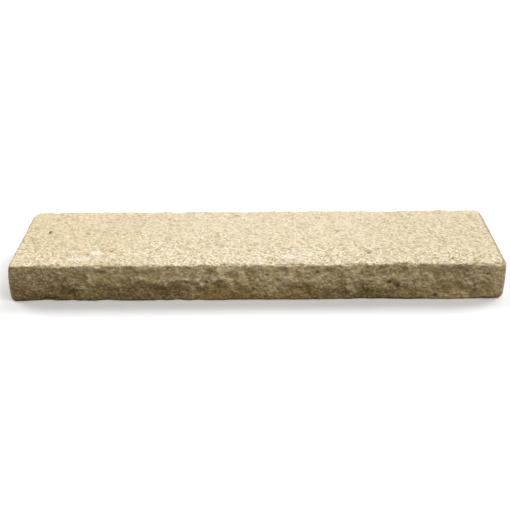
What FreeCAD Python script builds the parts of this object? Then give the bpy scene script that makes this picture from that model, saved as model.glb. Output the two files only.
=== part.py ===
"""Wall coping stone: one block of cast stone with a flat bed, square joint ends and pitched long faces.

The frame: X runs along the wall, Y across it with the shown face at -Y, and Z up.
The origin is the middle of the bed, the face that is laid on the wall. All sizes are in millimetres.
"""

import FreeCAD, Part
import math
import os
import random

# The block
LENGTH = 600.0
WIDTH = 150.0
HEIGHT = 50.0

# Corners worn round in plan
FRONT_LEFT_RADIUS = 10.0
FRONT_RIGHT_RADIUS = 9.0
BACK_RIGHT_RADIUS = 9.0
BACK_LEFT_RADIUS = 15.0

# Arrises eased all round the top and the bed
TOP_ARRIS_RADIUS = 4.0
BED_ARRIS_RADIUS = 4.0

# Pitched long faces: each blow of the pitching tool lifts a broad chip and leaves a shallow dish
CHIP_RADIUS_MIN = 14.0
CHIP_RADIUS_MAX = 24.0
CHIP_DEPTH_MIN = 1.4
CHIP_DEPTH_MAX = 3.2
CHIP_ROW_INSET = 17.0
CHIP_ROW_WANDER = 3.0
CHIP_LAP = 0.7

# Smaller flakes that spall off after the chips, side by side
FLAKE_RADIUS_MIN = 10.0
FLAKE_RADIUS_MAX = 16.0
FLAKE_DEPTH_MIN = 2.2
FLAKE_DEPTH_MAX = 3.8
FLAKE_ROW_INSET = 15.0
FLAKE_ROW_WANDER = 6.0
FLAKE_LAP = 0.0

# The rows of dishes stop this far from the worn corners
DISH_END_MARGIN = 3.0
DISH_SEED = 3

# Deeper hollows in the shown face where a lump came away: from the left end, above the bed, radius and depth
FRONT_HOLLOWS = [
    (78.0, 9.0, 10.0, 4.2),
    (84.0, 21.0, 8.5, 3.8),
    (205.0, 15.0, 17.0, 4.6),
    (464.0, 20.0, 9.5, 4.0),
]

# Two places closer together than this count as one
SAME_PLACE = 0.001


def polar(radius, degrees):
    """The vector of this length in the plan, turned anticlockwise from +X."""
    angle = math.radians(degrees)
    return FreeCAD.Vector(radius * math.cos(angle), radius * math.sin(angle), 0)


def plan_outline():
    """The outline of the bed, anticlockwise: an arc at each corner, joined by straight sides."""
    corners = [
        (-1, -1, FRONT_LEFT_RADIUS, 180),
        (1, -1, FRONT_RIGHT_RADIUS, 270),
        (1, 1, BACK_RIGHT_RADIUS, 0),
        (-1, 1, BACK_LEFT_RADIUS, 90),
    ]
    arcs = []
    for side_x, side_y, radius, first_angle in corners:
        centre = FreeCAD.Vector(side_x * (LENGTH / 2 - radius), side_y * (WIDTH / 2 - radius), 0)
        arcs.append([centre + polar(radius, first_angle + turn) for turn in (0, 45, 90)])
    edges = []
    for arc, next_arc in zip(arcs, arcs[1:] + arcs[:1]):
        edges.append(Part.Arc(*arc).toShape())
        edges.append(Part.LineSegment(arc[-1], next_arc[0]).toShape())
    return Part.Wire(edges)


def edges_at(shape, height):
    """The edges that lie wholly in the level plane at this height."""
    boxes = [(edge, edge.BoundBox) for edge in shape.Edges]
    return [edge for edge, box in boxes if max(abs(box.ZMin - height), abs(box.ZMax - height)) < SAME_PLACE]


def eased_block():
    """The outline raised to the full height, with the arrises round the top and the bed rounded."""
    block = Part.Face(plan_outline()).extrude(FreeCAD.Vector(0, 0, HEIGHT))
    block = block.makeFillet(TOP_ARRIS_RADIUS, edges_at(block, HEIGHT))
    return block.makeFillet(BED_ARRIS_RADIUS, edges_at(block, 0))


def row_of_dishes(row_height, radii, depths, wander, lap, rng):
    """(x, z, radius, depth) of each dish along one row; the next laps over it by a share of its radius."""
    rim = -LENGTH / 2 + max(FRONT_LEFT_RADIUS, BACK_LEFT_RADIUS) + DISH_END_MARGIN
    last = LENGTH / 2 - max(FRONT_RIGHT_RADIUS, BACK_RIGHT_RADIUS) - DISH_END_MARGIN
    row = []
    radius = rng.uniform(*radii)
    while rim + 2 * radius <= last:
        z = row_height + rng.uniform(-wander, wander)
        row.append((rim + radius, z, radius, rng.uniform(*depths)))
        rim += (2 - lap) * radius
        radius = rng.uniform(*radii)
    return row


def dish_ball(side, x, z, radius, depth):
    """The ball that cuts a dish of this radius and depth in a long face; side is -1 in front and 1 behind."""
    ball_radius = (radius**2 + depth**2) / (2 * depth)
    centre_y = side * (WIDTH / 2 - depth + ball_radius)
    return Part.makeSphere(ball_radius, FreeCAD.Vector(x, centre_y, z))


def pitch_faces(block):
    """Strikes each long face along both its arrises, first for the broad chips and then for the flakes."""
    chip_radii, chip_depths = (CHIP_RADIUS_MIN, CHIP_RADIUS_MAX), (CHIP_DEPTH_MIN, CHIP_DEPTH_MAX)
    flake_radii, flake_depths = (FLAKE_RADIUS_MIN, FLAKE_RADIUS_MAX), (FLAKE_DEPTH_MIN, FLAKE_DEPTH_MAX)
    rows = [
        (CHIP_ROW_INSET, chip_radii, chip_depths, CHIP_ROW_WANDER, CHIP_LAP),
        (FLAKE_ROW_INSET, flake_radii, flake_depths, FLAKE_ROW_WANDER, FLAKE_LAP),
    ]
    rng = random.Random(DISH_SEED)
    for side in (-1, 1):
        for inset, *blows in rows:
            for row_height in (HEIGHT - inset, inset):
                for dish in row_of_dishes(row_height, *blows, rng):
                    block = block.cut(dish_ball(side, *dish))
    for from_left, *hollow in FRONT_HOLLOWS:
        block = block.cut(dish_ball(-1, from_left - LENGTH / 2, *hollow))
    return block


coping_stone = pitch_faces(eased_block())
os.makedirs("parts", exist_ok=True)
coping_stone.exportStep("parts/coping_stone.step")
print("solids", len(coping_stone.Solids), "valid", coping_stone.isValid(), "faces", len(coping_stone.Faces))
print("litres", round(coping_stone.Volume / 1e6, 3))
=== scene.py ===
# %% [markdown]
# # A wall coping stone
# The object is one block of buff cast stone that caps a garden wall. It has a granular top, two long
# faces that are pitched to look split by hand, plain ends for the mortar joints, and a flat bed. The
# CAD solid holds the true size and the main form. A box with a bump map would be the quick way to dress
# it. But stone is known by its relief, so this lesson works out the whole skin as numpy arrays, and
# then gives it a material with the grain of the real mix.

# %% Load the measured solid
import itertools
import math
import random

import bpy
import numpy as np
from mathutils import Matrix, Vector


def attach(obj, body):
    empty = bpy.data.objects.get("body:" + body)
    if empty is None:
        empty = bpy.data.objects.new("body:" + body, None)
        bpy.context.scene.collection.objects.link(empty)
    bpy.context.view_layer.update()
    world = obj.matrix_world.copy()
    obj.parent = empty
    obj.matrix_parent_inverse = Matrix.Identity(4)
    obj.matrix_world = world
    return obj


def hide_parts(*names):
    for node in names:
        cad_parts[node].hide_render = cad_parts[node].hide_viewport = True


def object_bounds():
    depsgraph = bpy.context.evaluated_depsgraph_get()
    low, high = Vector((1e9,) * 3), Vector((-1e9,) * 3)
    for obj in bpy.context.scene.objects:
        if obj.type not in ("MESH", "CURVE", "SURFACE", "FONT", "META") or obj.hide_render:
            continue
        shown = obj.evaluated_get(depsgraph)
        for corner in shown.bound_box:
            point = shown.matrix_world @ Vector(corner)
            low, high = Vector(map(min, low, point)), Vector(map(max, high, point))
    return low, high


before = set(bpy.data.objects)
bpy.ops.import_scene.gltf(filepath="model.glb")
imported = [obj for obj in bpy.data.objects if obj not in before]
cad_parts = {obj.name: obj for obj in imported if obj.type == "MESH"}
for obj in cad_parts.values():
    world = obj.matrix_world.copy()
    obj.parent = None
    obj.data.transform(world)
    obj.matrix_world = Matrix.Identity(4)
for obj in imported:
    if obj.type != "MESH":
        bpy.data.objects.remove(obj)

MM = 0.001
cad_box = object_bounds()
LENGTH, WIDTH, HEIGHT = (high - low for low, high in zip(*cad_box))
print("solid", [round(side / MM, 1) for side in (LENGTH, WIDTH, HEIGHT)], "mm")

# %% [markdown]
# The camera comes first, because each later choice is judged through it. It could be dragged about
# until it looks right, but the corners and edges of the real stone are enough to work out where it
# stood: almost a metre in front, 0.55 m up, and looking 28.6 degrees down. The picture is 510 pixels
# wide and its focal length is 866 pixels, which a sensor 36 mm wide turns into a lens of 61 mm. Turning
# about the vertical, then tipping, then rolling about the line of sight is the order in which a tripod
# head is set.

# %% Camera
IMAGE_SIDE = 510
FOCAL_PIXELS = 865.6
SENSOR = 36.0
EYE = (0.0053, -0.9668, 0.5489)
HEADING, PITCH_DOWN, ROLL = 0.460, 28.577, -0.562


def turn(degrees, axis):
    """A rotation by this many degrees about one axis."""
    return Matrix.Rotation(math.radians(degrees), 4, axis)


lens = bpy.data.cameras.new("camera")
lens.sensor_width = SENSOR
lens.lens = SENSOR * FOCAL_PIXELS / IMAGE_SIDE
camera = bpy.data.objects.new("camera", lens)
camera.matrix_world = (
    Matrix.Translation(EYE) @ turn(HEADING, "Z") @ turn(90 - PITCH_DOWN, "X") @ turn(ROLL, "Z")
)
bpy.context.collection.objects.link(camera)
bpy.context.scene.camera = camera
print("lens", round(lens.lens, 1), "mm")

# %% [markdown]
# Seen from above the stone is a rectangle with worn corners, each with a radius of its own. The two on
# the right are worn a little rounder here than in the solid. A cube with bevelled edges has such a plan
# too, but the skin will be a profile carried round the outline. So the outline is needed as a closed
# loop of points, and at each point the direction that faces out. It starts at the middle of the left
# end: then point i and point N - 1 - i lie across the stone from each other, which later closes the top
# and the bed with a simple strip.

# %% Plan outline
# Each corner: left or right, front or back, radius in mm, and the angle at which its arc starts.
CORNERS = [(-1, -1, 10.0, 180), (1, -1, 15.0, 270), (1, 1, 13.0, 0), (-1, 1, 15.0, 90)]
LONG_COUNT, END_COUNT, ARC_COUNT = 404, 88, 14


def outline_loop():
    """Points round the plan and their outward directions. Corner: centre + radius * (cos a, sin a) over
    a quarter turn. Between two corners: a straight run from the end of one arc to the start of the
    next."""
    arcs = []
    for side_x, side_y, radius, first in CORNERS:
        angle = np.radians(first + np.linspace(0, 90, ARC_COUNT))
        direction = np.stack([np.cos(angle), np.sin(angle)], axis=1)
        centre = np.array([side_x * (LENGTH / 2 - radius * MM), side_y * (WIDTH / 2 - radius * MM)])
        arcs.append((centre + radius * MM * direction, direction))
    places, outward = [], []
    for (arc, direction), (next_arc, _), count in zip(
        arcs, arcs[1:] + arcs[:1], (LONG_COUNT, END_COUNT, LONG_COUNT, END_COUNT)
    ):
        share = np.linspace(0, 1, count + 2)[1:-1, None]
        places += [arc, arc[-1] + share * (next_arc[0] - arc[-1])]
        outward += [direction, np.repeat(direction[-1:], count, axis=0)]
    return [np.roll(np.concatenate(rows), END_COUNT // 2, axis=0) for rows in (places, outward)]


outline, outward = outline_loop()
print("outline", len(outline), "points")

# %% [markdown]
# The profile runs from the middle of the bed outwards, round the lower arris, up the face, round the
# upper arris and in over the top. An arris is the mason's word for the edge where two faces meet, and
# the upper one is worn rounder at the ends than along the faces. Each ring of the skin has four numbers
# at each point: its share of the way from the middle to the edge, its inset from the outline, its
# height, and the tilt of its normal, from -90 degrees on the bed to 90 on the top.
#
# A fan of triangles could fill the flat top and bed, but it would leave needles. Instead they are ruled
# like a hipped roof: straight lines run in from the outline to a narrow slot along the middle, which
# tapers to a point at each end. So no corner folds over, and the relief finds points to move everywhere.

# %% Profile
BED_ARRIS = 4.0 * MM
# The upper arris in mm: along the faces, and what the left end and the right end add to it.
FACE_ARRIS, LEFT_ADDS, RIGHT_ADDS = 4.0, 3.0, 5.0
TOP_ARRIS = (FACE_ARRIS + np.where(outward[:, 0] < 0, LEFT_ADDS, RIGHT_ADDS) * outward[:, 0] ** 2) * MM
BED_RINGS, BED_ARRIS_RINGS, FACE_RINGS, TOP_ARRIS_RINGS, TOP_RINGS = 7, 5, 28, 8, 46
BED_FIRST_SHARE, TOP_LAST_SHARE = 0.02, 0.01
# The slot: how far its tips stay from the ends of the stone, and half its width.
SLOT_TIP, SLOT_HALF = 40 * MM, 1.4 * MM


def profile_rings():
    """Share, inset, height and tilt of each ring at each point. On an arris of radius r and tilt a the
    inset is r - r cos a, and the height is r + r sin a above the bed, or r - r sin a below the top."""
    low = np.linspace(-90, 0, BED_ARRIS_RINGS, endpoint=False)[:, None]
    high = np.linspace(0, 90, TOP_ARRIS_RINGS, endpoint=False)[:, None]
    climb = np.linspace(0, 1, FACE_RINGS, endpoint=False)[:, None]
    outwards = np.linspace(BED_FIRST_SHARE, 1, BED_RINGS, endpoint=False)[:, None]
    inwards = np.linspace(1, TOP_LAST_SHARE, TOP_RINGS)[:, None]
    bed, face, top = 0 * outwards, 0 * climb, 0 * inwards
    share = [outwards, 1 + 0 * low, 1 + face, 1 + 0 * high, inwards]
    inset = [bed + BED_ARRIS, BED_ARRIS * (1 - np.cos(np.radians(low))), face]
    inset += [TOP_ARRIS * (1 - np.cos(np.radians(high))), top + TOP_ARRIS]
    rise = [bed, BED_ARRIS * (1 + np.sin(np.radians(low)))]
    rise += [BED_ARRIS + climb * (HEIGHT - TOP_ARRIS - BED_ARRIS)]
    rise += [HEIGHT - TOP_ARRIS * (1 - np.sin(np.radians(high))), top + HEIGHT]
    tilt = [bed - 90, low, face, high, top + 90]
    every_point = np.ones(len(outline))
    columns = (share, inset, rise, tilt)
    return [np.concatenate([rows * every_point for rows in column]) for column in columns]


share, inset, rise, tilt = profile_rings()
off_axis = np.abs(outline[:, 1]) / (WIDTH / 2)
ridge = LENGTH / 2 - SLOT_TIP - (WIDTH / 2 - SLOT_TIP) * off_axis
slot = np.sign(outline[:, 1]) * SLOT_HALF * np.sqrt(off_axis)
middle = np.stack([np.clip(outline[:, 0], -ridge, ridge), slot], axis=1)
plan = middle + share[..., None] * (outline - inset[..., None] * outward - middle)
points = np.concatenate([plan, rise[..., None]], axis=-1)
level = np.cos(np.radians(tilt))[..., None]
normals = np.concatenate([level * outward, np.sin(np.radians(tilt))[..., None]], axis=-1)
print("rings", points.shape[0], "of", points.shape[1], "points")

# %% [markdown]
# A mason pitches a face by striking it along the edge with a broad chisel. Each blow lifts a round chip
# and leaves a shallow dish. The dishes lap over each other in two rows, one by each arris, and smaller
# flakes spall off after them. A Boolean for every chip would leave thin triangles, so a dish is written
# as a depth over the face instead, and the skin steps back by that depth. The places, the sizes and the
# order of the random draws are those of the solid, so skin and solid agree.

# %% Pitched faces
# Broad chips, then flakes: radius from and to, depth from and to, inset of the row from the arris and
# wander of the row, all in mm, and the share of a radius by which one laps over the next.
BLOWS = [
    ((14.0, 24.0), (1.4, 3.2), 17.0, 3.0, 0.7),
    ((10.0, 16.0), (2.2, 3.8), 15.0, 6.0, 0.0),
]
ROW_FROM_LEFT, ROW_FROM_RIGHT, DISH_SEED = 18.0, 12.0, 3
# Deeper hollows of the front face: from the left end, above the bed, radius and depth in mm.
FRONT_HOLLOWS = [
    (78.0, 9.0, 10.0, 4.2),
    (84.0, 21.0, 8.5, 3.8),
    (205.0, 15.0, 17.0, 4.6),
    (464.0, 20.0, 9.5, 4.0),
]


def struck_dishes():
    """The dishes of both long faces, as rows of side, x, z, radius and depth in mm. In a row each rim
    starts (2 - lap) radii after the rim before it."""
    draw = random.Random(DISH_SEED)
    first, last = ROW_FROM_LEFT - LENGTH / MM / 2, LENGTH / MM / 2 - ROW_FROM_RIGHT
    made = []
    rows = itertools.product((-1, 1), BLOWS, (True, False))
    for side, (radii, depths, inset, wander, lap), upper in rows:
        rim, radius = first, draw.uniform(*radii)
        while rim + 2 * radius <= last:
            z = (HEIGHT / MM - inset if upper else inset) + draw.uniform(-wander, wander)
            made.append((side, rim + radius, z, radius, draw.uniform(*depths)))
            rim += (2 - lap) * radius
            radius = draw.uniform(*radii)
    return made + [(-1, from_left - LENGTH / MM / 2, *hollow) for from_left, *hollow in FRONT_HOLLOWS]


dishes = struck_dishes()


def pitched_depth(x, z, side):
    """Depth of the dishes of one long face in mm. A dish is a ball cap: with R = (r^2 + d^2) / 2d its
    depth at distance q from the middle is sqrt(R^2 - q^2) - (R - d), and nothing outside its rim. Where
    dishes lap, the fourth root of the sum of fourth powers takes the deeper one and blunts the ridge
    between them."""
    total = np.zeros_like(x)
    for dish_side, dish_x, dish_z, radius, depth in dishes:
        if dish_side == side:
            ball = (radius**2 + depth**2) / (2 * depth)
            inside = np.maximum(ball**2 - (x - dish_x) ** 2 - (z - dish_z) ** 2, 0)
            reach = np.sqrt(inside) - (ball - depth)
            total += np.maximum(reach, 0) ** 4
    return total**0.25


x_mm, y_mm, z_mm = np.moveaxis(points, -1, 0) / MM
front, back = np.maximum(-outward[:, 1], 0), np.maximum(outward[:, 1], 0)
dish = pitched_depth(x_mm, z_mm, -1) * front + pitched_depth(x_mm, z_mm, 1) * back
points[..., 1] -= np.sign(outward[:, 1]) * dish * share * MM
print("dishes", len(dishes), "deepest", round(float(dish.max()), 2), "mm")

# %% [markdown]
# The mix is coarse sand and crushed stone bound with cement, so the skin is lumpy at 10 mm, granular at
# 4 mm and sandy below that. The first two are real relief here, and the sand is left to the material. A
# Displace modifier could read a texture for this, but arrays can be weighed against each other face by
# face. Smooth noise on a lattice gives the lumps. One grain in every cell of a second lattice gives
# packed grains, read either as round domes or as flat facets that lean at random.


# %% Lumps and grains
def hashed(cells, table):
    """A number from 0 to 255 for each lattice cell: the table is read at x, again at that + y, and again
    at that + z."""
    key = table[cells[..., 0] & 255]
    key = table[(key + cells[..., 1]) & 255]
    return table[(key + cells[..., 2]) & 255]


def lumps(places, cell, seed):
    """Smooth noise from 0 to 1. Every lattice corner has a random value, and inside a cell the eight
    values are blended along x, y and z with the curve 3t^2 - 2t^3."""
    draw = np.random.default_rng(seed)
    table, values = draw.permutation(256), draw.random(256)
    low = np.floor(places / cell).astype(int)
    t = places / cell - low
    t = t * t * (3 - 2 * t)
    total = np.zeros(places.shape[:-1])
    for corner in itertools.product((0, 1), repeat=3):
        weight = np.where(corner, t, 1 - t).prod(axis=-1)
        total += weight * values[hashed(low + np.array(corner), table)]
    return total


def grains(places, cell, seed):
    """Packed grains, each at a random place in its own lattice cell. The first array is their domes,
    from 0 in the gaps to 1 on the crowns: 1 - d^2 / 0.81, where d is the distance to the nearest grain
    in cells. The second is facets: every grain has a random slope, and the facet height is that slope
    times the way to the grain."""
    draw = np.random.default_rng(seed)
    table, offsets = draw.permutation(256), draw.random((256, 3))
    slopes = draw.uniform(-1, 1, (256, 3))
    low = np.floor(places / cell).astype(int)
    nearest = np.full(places.shape[:-1], np.inf)
    facet = np.zeros_like(nearest)
    for step in itertools.product((-1, 0, 1), repeat=3):
        spot = low + np.array(step)
        key = hashed(spot, table)
        gap = spot + offsets[key] - places / cell
        far = (gap**2).sum(axis=-1)
        facet = np.where(far < nearest, (gap * slopes[key]).sum(axis=-1), facet)
        nearest = np.minimum(nearest, far)
    return np.clip(1 - nearest / 0.81, 0, 1), facet


# Shrinking x before the noise is read makes lumps that are longer along the stone. For the bites of the
# arrises y and z are shrunk instead, so that each bite runs right round its arris.
broad = lumps(points * (0.7, 1, 1), 20 * MM, 5)
middling = lumps(points * (0.55, 1, 1), 9 * MM, 6)
small = lumps(points * (0.8, 1, 1), 5 * MM, 7)
pebbly, _ = grains(points, 4.2 * MM, 8)
scoops, facets = grains(points * (0.6, 1, 1), 9 * MM, 9)
bites = lumps(points * (1, 0.3, 0.3), 7 * MM, 10)
for label, field in (("lumps", broad), ("domes", pebbly), ("facets", facets)):
    print(label, [round(float(value), 2) for value in (field.min(), field.mean(), field.max())])

# %% [markdown]
# No two stones break alike. This one is known by a few marks: on its front, ledges and lumps round the
# hollows and some small pits, on its top a few pits, and nicks along the arris between them. They could
# be sculpted with a brush, but then nobody could move one later. Here each mark is a row of given
# numbers, and one formula turns any row into a depth.

# %% Ledges, lumps, pits and nicks
# On the front face: x, z, half length, half height and depth in mm. What stands out has a negative depth.
FRONT_LEDGES = [(-222, 23.5, 8, 1.8, -1.7), (-213, 17, 8, 1.7, -1.6), (-92, 28, 20, 2.5, -1.4)]
FRONT_LUMPS = [(-66.5, 20, 4, 4.5, -2.4), (-73, 27, 5, 4, -1.8), (-52, 28, 4, 4, -1.6)]
FRONT_PITS = [(158, 22.3, 3, 2.2, 2.4), (169, 17.5, 3.2, 2.4, 2.6), (214.5, 5, 2.8, 2.6, 3)]
FRONT_PITS += [(-60.5, 24.5, 2.8, 2.4, 2.2), (12, 34.5, 3.2, 2.4, 1.8), (72, 37, 3, 2.4, 1.8)]
FRONT_PITS += [(275, 34, 2.6, 2.2, 1.6), (-187, 39, 10, 3.5, 1.2), (-250, 3, 13, 2.6, 1.6)]
FRONT_PITS += [(70, 2, 5, 1.8, 1.4), (279, 2, 14, 2, 1.4)]
# On the top: x, y, half length, half width and depth in mm.
TOP_PITS = [(-263.5, 16, 2.2, 4.4, 3.0), (-9, -37, 2.6, 2.6, 2), (136, -43, 3.6, 2.8, 2.2)]
TOP_PITS += [(121, -18, 2.2, 2.8, 1.8), (188, -33, 3, 2.4, 1.1), (234, -60, 2.8, 2.4, 2)]
TOP_PITS += [(102, 13, 2.6, 2.4, 1.6), (-114, 50, 3, 3, 1.8), (-199, -56, 3, 2.4, 1.8)]
TOP_PITS += [(-96, -44, 3, 2.2, 1.6), (57, -5, 2.4, 2.4, 1.6), (-178, -36, 2.6, 2.4, 1.8)]
# On the upper front arris: x, half length and depth in mm.
ARRIS_NICKS = [(-238, 6, 1.2), (-187, 14, 0.5), (-20, 8, 1.3), (45, 12, 1.4)]
ARRIS_NICKS += [(123, 6, 1.4), (175, 8, 1.8), (274, 14, 1.0)]


def marked(across, along, marks):
    """Depth of a list of marks in mm, each an ellipse: depth * (1 - q^2), where q is the squared distance
    from the middle of the ellipse, measured in its half-axes."""
    total = np.zeros_like(across)
    for middle_across, middle_along, half_across, half_along, depth in marks:
        q = ((across - middle_across) / half_across) ** 2 + ((along - middle_along) / half_along) ** 2
        total += depth * np.maximum(1 - q**2, 0)
    return total


# How far each point belongs to the upright sides, the pitched faces, the front face and the top. Turning
# is 0 where an upper arris starts and ends, and 1 halfway round it.
upright = np.where(tilt < 0, 1, level[..., 0])
broken = upright * np.abs(outward[:, 1]) ** 2
on_front = broken * (outward[:, 1] < 0)
on_top = tilt == 90
turning = np.sin(np.radians(2 * np.maximum(tilt, 0)))
pits = on_front * marked(x_mm, z_mm, FRONT_PITS) + on_top * marked(x_mm, y_mm, TOP_PITS)
raised = on_front * marked(x_mm, z_mm, FRONT_LEDGES + FRONT_LUMPS)
nick_rows = [(x, 0, half, 1, depth) for x, half, depth in ARRIS_NICKS]
marks = pits + raised + turning * front * marked(x_mm, 0 * x_mm, nick_rows)
print("marks from", round(float(marks.min()), 2), "to", round(float(marks.max()), 2), "mm deep")

# %% [markdown]
# Broken stone is scooped, with round hollows and sharp ridges, so on the pitched faces the domes of the
# larger grains are used the other way up. Pressing all of it inwards would be simplest, but then the
# whole face would stand back from the solid. So the relief is taken about its own mean and swings both
# ways round the dishes, and a tanh keeps the odd spike from running away. Near the bed, the top and the
# ends the face was dressed with more care, and there the relief calms down.

# %% Relief of the pitched faces
# In mm: how far the relief stands back on the whole, and how far it may swing.
SET_BACK, SWING = 0.7, 2.0
# The least share of the relief, and how far in mm from the bed and top, and from each end, it is full.
CALMEST, FULL_FROM_BED, FULL_FROM_LEFT, FULL_FROM_RIGHT = 0.35, 10, 45, 25
# In each term the first number is a depth in mm.
coarse = 2.4 * (0.75 - broad) + 2.0 * (0.75 - middling) + 1.6 * scoops + 3.6 * (0.4 - facets)
fine = 2.2 * (0.75 - small) + 1.8 * (0.85 - pebbly)
rough = 0.35 * (coarse - coarse.mean()) + fine - fine.mean()
to_edge = np.minimum(z_mm, HEIGHT / MM - z_mm) / FULL_FROM_BED
to_end = (LENGTH / MM / 2 - np.abs(x_mm)) / np.where(x_mm < 0, FULL_FROM_LEFT, FULL_FROM_RIGHT)
calm = np.clip(np.minimum(to_edge, to_end), CALMEST, 1)
sink = broken * (SET_BACK + calm * SWING * np.tanh(rough / SWING))
print("pitched relief from", round(float(sink.min()), 2), "to", round(float(sink.max()), 2), "mm")

# %% [markdown]
# The top is dressed to an even grain. The ends are plainer, because mortar hides them, and they swell a
# little at a third of their height. The upper arrises along the faces have lost irregular bites. Each
# could be a modifier of its own, but as depths they simply add up. A last maximum then holds the skin
# inside the true size: only within a dish may the relief swing outwards, by nine tenths of its depth.
# The bed is struck flat, and its rings only follow the lower arris sideways.

# %% Relief of the top, the ends and the arrises
# In mm: how far each end stands back at the top, the height of the swell, and from there to the top.
LEFT_SWELL, RIGHT_SWELL, SWELL_HEIGHT, SWELL_REACH = 4.0, 2.0, 15, 35
# The depth of a bite in mm per unit of noise, and the noise at which bites start.
BITE, BITE_FROM = 4.0, 0.5
KEPT_IN_DISH = 0.9
plain = upright * np.abs(outward[:, 0]) ** 2
dressed = np.clip(np.sin(np.radians(tilt)), 0, 1)
even_grain = (
    0.9 * (0.8 - broad) + 0.9 * (0.8 - middling) + 1.0 * (0.75 - small) + 1.4 * (0.85 - pebbly)
)
sink += dressed**4 * even_grain
sink += plain * (0.5 * (0.8 - broad) + 0.5 * (0.8 - middling) + 0.5 * (0.9 - pebbly))
sink += plain * np.where(x_mm < 0, LEFT_SWELL, RIGHT_SWELL) * ((z_mm - SWELL_HEIGHT) / SWELL_REACH) ** 2
sink += turning * np.abs(outward[:, 1]) * BITE * np.maximum(bites - BITE_FROM, 0)
sink = np.maximum(sink + marks, -KEPT_IN_DISH * dish * broken**2)
sink[:BED_RINGS] = sink[BED_RINGS] * share[:BED_RINGS]
level_out = np.pad(outward, ((0, 0), (0, 1)))
points -= np.where(tilt[..., None] < 0, level_out, normals) * (sink * MM)[..., None]
print("relief down to", round(float(sink.max()), 2), "mm")

# %% [markdown]
# Now the arrays become a mesh. Every ring joins the next with quads. The innermost ring of the top and
# of the bed is the slot, and a strip of quads from each point to the one across it closes the slot, so
# the skin is watertight. from_pydata would take the same lists, but foreach_set copies whole arrays and
# is much faster.


# %% Skin
def skin_faces(rings, count):
    """Quads between ring j and ring j + 1, and the strips that close the first ring and the last, all
    facing out."""
    at = np.arange(rings * count).reshape(rings, count)
    after = np.roll(at, -1, axis=1)
    walls = np.stack([at[:-1], after[:-1], after[1:], at[1:]], axis=-1).reshape(-1, 4)
    here = np.arange(count // 2 - 1)
    strip = np.stack([here, here + 1, count - 2 - here, count - 1 - here], axis=-1)
    return np.concatenate([walls, strip[:, ::-1], strip + (rings - 1) * count])


def new_mesh(name, places, quads):
    """A smooth-shaded object at the origin from vertex places and quads."""
    mesh = bpy.data.meshes.new(name)
    mesh.vertices.add(len(places))
    mesh.vertices.foreach_set("co", places.astype(np.float32).ravel())
    mesh.loops.add(quads.size)
    mesh.loops.foreach_set("vertex_index", quads.astype(np.int32).ravel())
    mesh.polygons.add(len(quads))
    mesh.polygons.foreach_set("loop_start", np.arange(0, quads.size, 4, dtype=np.int32))
    mesh.polygons.foreach_set("use_smooth", np.ones(len(quads), dtype=bool))
    mesh.update(calc_edges=True)
    mesh.validate()
    made = bpy.data.objects.new(name, mesh)
    bpy.context.collection.objects.link(made)
    return made


quads = skin_faces(*points.shape[:2])
stone = new_mesh("stone_skin", points.reshape(-1, 3), quads)
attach(stone, "root")
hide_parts("coping_stone")
print("skin", len(stone.data.vertices), "vertices", 2 * len(quads), "triangles")

# %% [markdown]
# The material has to know more than a place in space: which face it is on, how far down a hollow, and
# whether on the crown of a grain or between grains. Such masks could be painted by hand. But the relief
# already holds them, so six numbers go with each vertex, as attributes that the material reads.

# %% What the vertices carry
# Blooms of lime on the top: x, y, half length and half width in mm, and strength.
BLOOMS = [(-207, -57, 24, 5, 0.45), (-194, -42, 9, 8, 0.55), (41, -53, 14, 7, 0.55), (62, -46, 9, 6, 0.4)]
# Painted highlight on the raised ledges and lumps of the front, per mm that they stand out.
LEDGE_HIGHLIGHT = 0.12
# The depths in mm at which a hollow and a pit count as full.
FULL_HOLLOW, FULL_PIT = 9, 2
carried = {
    "pitched": broken,
    # How deep a point lies in a hollow, which places painted shade there.
    "hollow": np.clip(broken * (dish + marks + coarse) / FULL_HOLLOW, 0, 1),
    # Pits, which get painted shade.
    "pit": np.clip(pits / FULL_PIT, 0, 1),
    # Crowns of the grains; painted shade goes between them.
    "crown": np.clip(0.45 * small + 0.55 * pebbly, 0, 1),
    # Lime on the top, and painted highlight on the raised ledges and lumps of the front.
    "lime_and_ledge_highlight": on_top * marked(x_mm, y_mm, BLOOMS) - LEDGE_HIGHLIGHT * raised,
    # The ends, which get painted shade.
    "joint": plain,
}
for name, values in carried.items():
    layer = stone.data.attributes.new(name, "FLOAT", "POINT")
    layer.data.foreach_set("value", values.astype(np.float32).ravel())
    print(name, "mean", round(float(values.mean()), 3))

# %% [markdown]
# The finish of the stone needs many nodes. They could be laid out by hand in the Shader Editor, but a
# material is easier to read as a formula than as a drawing of boxes. This small class wraps the output
# of a node, so that sums and products of wires add their Math nodes by themselves, and one method makes
# any other node.


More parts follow.
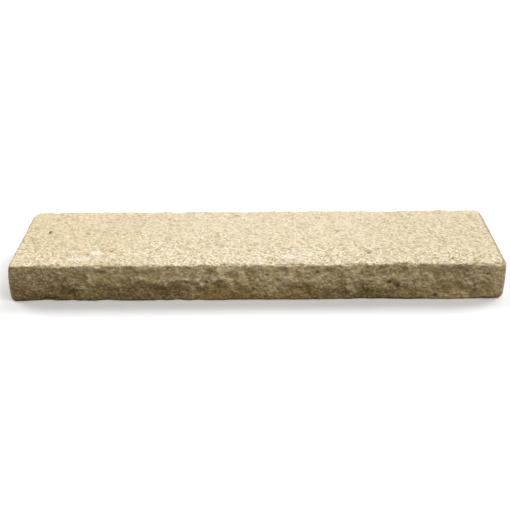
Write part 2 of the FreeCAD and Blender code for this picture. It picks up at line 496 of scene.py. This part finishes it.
# %% Formula wires
class Wire:
    """One output of a shader node tree, used like a number."""

    def __init__(self, tree, socket=None):
        self.tree, self.socket = tree, socket

    def node(self, kind, settings=None, inputs=None, out=0):
        """A new node of this type. Its settings come first, then the values or wires of its sockets."""
        made = self.tree.nodes.new(kind)
        for name, value in (settings or {}).items():
            setattr(made, name, value)
        for key, value in (inputs or {}).items():
            if isinstance(value, Wire):
                self.tree.links.new(value.socket, made.inputs[key])
            else:
                made.inputs[key].default_value = value
        return Wire(self.tree, made.outputs[out] if made.outputs else None)

    def math(self, operation, *terms):
        """The result of one Math node."""
        return self.node("ShaderNodeMath", {"operation": operation}, dict(enumerate(terms)))

    def __add__(self, other):
        return self.math("ADD", self, other)

    def __sub__(self, other):
        return self.math("SUBTRACT", self, other)

    def __rsub__(self, other):
        return self.math("SUBTRACT", other, self)

    def __mul__(self, other):
        return self.math("MULTIPLY", self, other)

    __radd__, __rmul__ = __add__, __mul__

    def between(self, low, high):
        """0 below low, 1 above high, and a smooth step in between. With low above high it falls."""
        settings = {"interpolation_type": "SMOOTHSTEP"}
        return self.node("ShaderNodeMapRange", settings, {"Value": self, "From Min": low, "From Max": high})

    def blend(self, first, second):
        """The first colour where this wire is 0 and the second where it is 1. A colour is a wire, or red,
        green and blue."""
        first, second = (end if isinstance(end, Wire) else (*end, 1) for end in (first, second))
        return self.node("ShaderNodeMix", {"data_type": "RGBA"}, {0: self, 6: first, 7: second}, 2)


def new_material(name):
    """An empty material and the start of its wires."""
    material = bpy.data.materials.new(name)
    material.use_nodes = True
    material.node_tree.nodes.clear()
    return material, Wire(material.node_tree)


stone_material, start = new_material("cast_stone")
print("material", stone_material.name)

# %% [markdown]
# The finish is matt buff cast stone: pale cement and grains of cream, ochre and grey sand. A painted
# image would need the skin unwrapped, and would blur up close. So all patterns are worked out from the
# position in the block, where they never slide, and they are a little longer along the stone, as the
# relief is. A slow wobble is added to the position along the stone, so that one tone passes into the
# next raggedly.

# %% Patterns of the stone
place = start.node("ShaderNodeTexCoord", out="Object")
laid = start.node("ShaderNodeMapping", {"vector_type": "POINT"}, {"Vector": place, "Scale": (0.75, 1, 1)})
pitched, hollow, pit, crown, lime_and_ledge_highlight, joint = (
    start.node("ShaderNodeAttribute", {"attribute_name": name}, out="Fac") for name in carried
)


def cloud(scale, detail=2.0, rough=0.5):
    """Soft noise about 0.5, with features 1 / scale metres across."""
    inputs = {"Vector": laid, "Scale": scale, "Detail": detail, "Roughness": rough}
    return place.node("ShaderNodeTexNoise", None, inputs)


def cells(scale, out):
    """Random cells 1 / scale metres across: their distance or their colour."""
    return place.node("ShaderNodeTexVoronoi", None, {"Vector": laid, "Scale": scale}, out)


length_way, across, up = (
    start.node("ShaderNodeSeparateXYZ", None, {"Vector": place}, axis) for axis in "XYZ"
)
along = length_way + (cloud(8) - 0.5) * 0.2
print("patterns read", len(carried), "attributes")

# %% [markdown]
# The top is the palest. It is cream in the middle and a little deeper towards both ends, and faint rosy
# and olive patches keep it from looking painted. One colour ramp could give the tones, but a chain of
# blends says which of them lies over which. Positions here are in metres from the middle of the stone.

# %% Tone of the top
CREAM, PALE_CREAM = (0.75, 0.64, 0.45), (0.785, 0.69, 0.51)
LEFT_BUFF, RIGHT_BUFF = (0.715, 0.595, 0.39), (0.705, 0.605, 0.42)
ROSE, OLIVE = (0.785, 0.63, 0.47), (0.67, 0.615, 0.40)
tone = cloud(60, 3).between(0.35, 0.65).blend(CREAM, PALE_CREAM)
tone = (1 - along.between(-0.26, -0.06)).blend(tone, LEFT_BUFF)
tone = (along.between(0.04, 0.22) * 0.8).blend(tone, RIGHT_BUFF)
tint = cloud(110, 2)
tone = (tint.between(0.54, 0.66) * 0.5).blend(tone, ROSE)
tone = (tint.between(0.46, 0.34) * 0.5).blend(tone, OLIVE)
print("top", len(stone_material.node_tree.nodes), "nodes so far")

# %% [markdown]
# The pitched faces show the inside of the mix. They are light ochre under the upper arris. Low down they
# are browner and darker towards the bed, partly their own tone and partly painted shade, and painted
# shade darkens the hollows and the left-hand corner. The ends carry painted shade in the brown of the
# right-hand corner. A material for each face would leave hard seams at the corners, so one material
# passes from face to face by the numbers that the vertices carry.

# %% Tone and painted shade of the pitched faces and the ends
OCHRE, PALE_OCHRE = (1.0, 0.80, 0.46), (0.92, 0.75, 0.47)
LEFT_OCHRE, RIGHT_OCHRE = (0.74, 0.59, 0.345), (0.71, 0.56, 0.335)
# The low, hollow, corner and end tones below are colours of painted shade.
LOW_RED_BROWN, LOW_LEFT = (0.37, 0.235, 0.07), (0.21, 0.14, 0.045)
LOW_MIDDLE, LOW_RIGHT = (0.21, 0.14, 0.05), (0.60, 0.45, 0.21)
HIGH_HOLLOW_SHADE, LOW_HOLLOW_SHADE = (0.38, 0.26, 0.09), (0.14, 0.09, 0.03)
LEFT_CORNER_SHADE, END_PAINTED_SHADE = (0.33, 0.27, 0.12), (0.37, 0.28, 0.145)
# Low on the faces a browner tone with painted shade, full near the bed and gone about 36 mm up.
low_down = 1 - (up + (cloud(40, 2) - 0.5) * 0.05).between(0.005, 0.036)
broken_tone = cloud(70, 3).between(0.35, 0.65).blend(OCHRE, PALE_OCHRE)
broken_tone = (1 - along.between(-0.28, 0.0)).blend(broken_tone, LEFT_OCHRE)
broken_tone = along.between(0.06, 0.28).blend(broken_tone, RIGHT_OCHRE)
# Painted shade at the left-hand corner of the faces.
broken_tone = ((1 - along.between(-0.31, -0.22)) * 0.85).blend(broken_tone, LEFT_CORNER_SHADE)
low_shade_tone = (1 - along.between(-0.14, -0.02)).blend(LOW_RED_BROWN, LOW_LEFT)
low_shade_tone = (along.between(0.06, 0.14) * 0.85).blend(low_shade_tone, LOW_MIDDLE)
low_shade_tone = along.between(0.2, 0.27).blend(low_shade_tone, LOW_RIGHT)
broken_tone = (low_down * 0.95).blend(broken_tone, low_shade_tone)
# Painted shade in the hollows, darker low down.
hollow_shade = low_down.blend(HIGH_HOLLOW_SHADE, LOW_HOLLOW_SHADE)
broken_tone = (hollow.between(0.4, 0.85) * 0.65).blend(broken_tone, hollow_shade)
colour = pitched.between(0.35, 0.9).blend(tone, broken_tone)
# Painted shade on the ends.
colour = (joint.between(0.0, 0.25) * 0.8).blend(colour, END_PAINTED_SHADE)
print("faces", len(stone_material.node_tree.nodes), "nodes so far")

# %% [markdown]
# Over the tones lies the grain, at three sizes: painted shade in the gaps between the modelled grains,
# soft sand, and single bits of grit. One noise of high detail would be quicker, but it looks like smoke,
# and stone has bits with edges. The sand and the grit have a dark shade and a pale one each, and the pale
# one is darker low on the faces and on the ends, to go with the painted shade there. Towards the front of
# the top the rain has washed the cement from between the grit, so there it stands out more. A Voronoi
# cell has a random colour, and Map Range reads only its grey.

# %% Grain
TOP_SHADE, FACE_SHADE, END_SHADE = (0.42, 0.325, 0.165), (0.22, 0.15, 0.05), (0.24, 0.18, 0.09)
TOP_PALE, FACE_PALE = (0.90, 0.83, 0.67), (0.98, 0.85, 0.53)
LOW_PALE, END_PALE = (0.70, 0.54, 0.27), (0.62, 0.50, 0.31)
shade = joint.blend(pitched.blend(TOP_SHADE, FACE_SHADE), END_SHADE)
pale = joint.blend(pitched.blend(TOP_PALE, low_down.blend(FACE_PALE, LOW_PALE)), END_PALE)
sandy = cloud(300, 2, 0.55)
grit = cells(520, "Color")
washed = (1 - across.between(-0.065, 0.03)) * (1 - pitched)
speckled = 1 - (1 - cloud(25, 1).between(0.35, 0.65)) * 0.35
gritty = speckled * (0.9 + 1.6 * washed)
# Painted shade in the gaps between the modelled grains.
colour = ((1 - crown.between(0.30, 0.60)) * 0.36).blend(colour, shade)
colour = ((1 - sandy.between(0.36, 0.52)) * speckled * 0.36).blend(colour, shade)
colour = (sandy.between(0.50, 0.66) * speckled * 0.34).blend(colour, pale)
colour = ((1 - grit.between(0.25, 0.45)) * gritty * 0.34).blend(colour, shade)
colour = (grit.between(0.55, 0.75) * gritty * 0.30).blend(colour, pale)
print("grain", len(stone_material.node_tree.nodes), "nodes so far")

# %% [markdown]
# Last come the accidents: pinholes where air lay against the mould, with painted shade in them, the
# bloom of lime on the top, whose mask also puts a painted highlight on the ledges and lumps of the front,
# and painted shade in the pits. The sand and the pinholes could be mesh too, but that would take millions
# of triangles, so a Bump node tilts the shading there. Dry stone has almost no gloss, so the roughness
# is high and the specular level low.

# %% Marks and shader
PINHOLE_SHADE, LIME_AND_LEDGE_HIGHLIGHT, PIT_SHADE = (0.20, 0.15, 0.09), (0.97, 0.93, 0.83), (0.14, 0.10, 0.05)
sand = cells(650, "Distance").between(0.25, 0.75)
pinhole = cells(170, "Distance").between(0.16, 0.06) * cloud(45, 1).between(0.52, 0.6)
# Painted shade in the pinholes.
colour = (pinhole * 0.55).blend(colour, PINHOLE_SHADE)
# Lime on the top, and painted highlight on the front's ledges and lumps.
colour = (lime_and_ledge_highlight * cloud(160, 3).between(0.3, 0.6)).blend(colour, LIME_AND_LEDGE_HIGHLIGHT)
# Painted shade in the pits.
colour = (pit.between(0.3, 0.9) * 0.75).blend(colour, PIT_SHADE)
height = sandy - sand * 0.05 - pinhole * 0.3
relief = start.node("ShaderNodeBump", None, {"Height": height, "Strength": 1.0, "Distance": 3.0 * MM})
shader = start.node(
    "ShaderNodeBsdfPrincipled",
    None,
    {"Base Color": colour, "Roughness": 0.92, "Specular IOR Level": 0.25, "Normal": relief},
)
start.node("ShaderNodeOutputMaterial", None, {"Surface": shader})
stone.data.materials.append(stone_material)
print("cast stone", len(stone_material.node_tree.nodes), "nodes")

# %% [markdown]
# The stone lies on a white sheet that keeps only its shadow. A floor of one white would be simplest, but
# it throws so much light back that the front face comes out flat. So the sheet is white to the eye, and
# a plain grey for the light that bounces off it on its way to the stone. Light Path tells the two apart.

# %% Floor
FLOOR_SIDE = 14.0
BOUNCE_GREY, SHEET_WHITE = (0.28, 0.28, 0.28, 1), (0.96, 0.97, 0.98, 1)
corners = np.array([[-1, -1, 0], [1, -1, 0], [1, 1, 0], [-1, 1, 0]]) * FLOOR_SIDE / 2
floor = new_mesh("floor", corners, np.arange(4).reshape(1, 4))
floor_material, start = new_material("white_sheet")


def seen_directly(start):
    """1 for rays from the eye, straight or by way of a mirror or glass, and 0 for light on its way to a
    surface."""
    kinds = ("Camera", "Glossy", "Transmission")
    camera_ray, glossy_ray, transmission_ray = (
        start.node("ShaderNodeLightPath", out=f"Is {kind} Ray") for kind in kinds
    )
    seen = camera_ray + glossy_ray + transmission_ray
    return seen.math("MINIMUM", seen, 1)


bounce = start.node("ShaderNodeBsdfDiffuse", None, {"Color": BOUNCE_GREY})
shown = start.node("ShaderNodeBsdfDiffuse", None, {"Color": SHEET_WHITE})
sheet = start.node("ShaderNodeMixShader", None, {0: seen_directly(start), 1: bounce, 2: shown})
start.node("ShaderNodeOutputMaterial", None, {"Surface": sheet})
floor.data.materials.append(floor_material)
print("floor", FLOOR_SIDE, "m wide")

# %% [markdown]
# The light is soft and comes mostly from above and behind: the top is bright, the front face is left to
# a weaker warm fill, and a short soft shadow lies in front. One big area lamp could do it, but its light
# would fade over the sheet. Suns with wide discs light the whole sheet evenly, and five of them, turned
# to fit the edges of the shadow, stand for the lamps and reflectors of a studio.

# %% Light
WHITE, WARM = (1, 1, 1), (1, 0.96, 0.90)
# Name, share of full white, tip from overhead, swing and width of the disc in degrees, and colour.
SUNS = [
    ("back_left_light", 0.44, 47, -55, 30, WHITE),
    ("back_light", 0.225, 32, 25, 30, WHITE),
    ("back_right_light", 0.46, 59, 57, 30, WHITE),
    ("front_right_light", 0.35, 38, 115, 30, WHITE),
    ("fill_light", 0.235, 40, 180, 45, WARM),
]


def soft_sun(name, share, tip, swing, disc, colour):
    """A sun tipped from overhead towards +Y and then swung towards +X. A white surface that faces it
    shows this share of full white: energy = share * pi."""
    sun = bpy.data.lights.new(name, "SUN")
    sun.energy = share * math.pi
    sun.angle = math.radians(disc)
    sun.color = colour
    made = bpy.data.objects.new(name, sun)
    made.matrix_world = turn(-swing, "Z") @ turn(-tip, "X")
    bpy.context.collection.objects.link(made)


for row in SUNS:
    soft_sun(*row)
print("suns", len(SUNS))

# %% [markdown]
# The world is the room round the stone. It gives a dim even light that lifts the darkest hollows, and to
# the eye it is white, so that the sheet has no horizon. A backdrop behind the sheet could be white as
# well, but it would show its edge from other sides.

# %% Room
ROOM = 0.08
world = bpy.data.worlds.new("room")
bpy.context.scene.world = world
world.use_nodes = True
world.node_tree.nodes.clear()
start = Wire(world.node_tree)
strength = seen_directly(start) * (1 - ROOM) + ROOM
background = start.node("ShaderNodeBackground", None, {"Color": (*WHITE, 1), "Strength": strength})
start.node("ShaderNodeOutputWorld", None, {"Surface": background})
bpy.context.scene.view_settings.view_transform = "Standard"
print("room", ROOM)
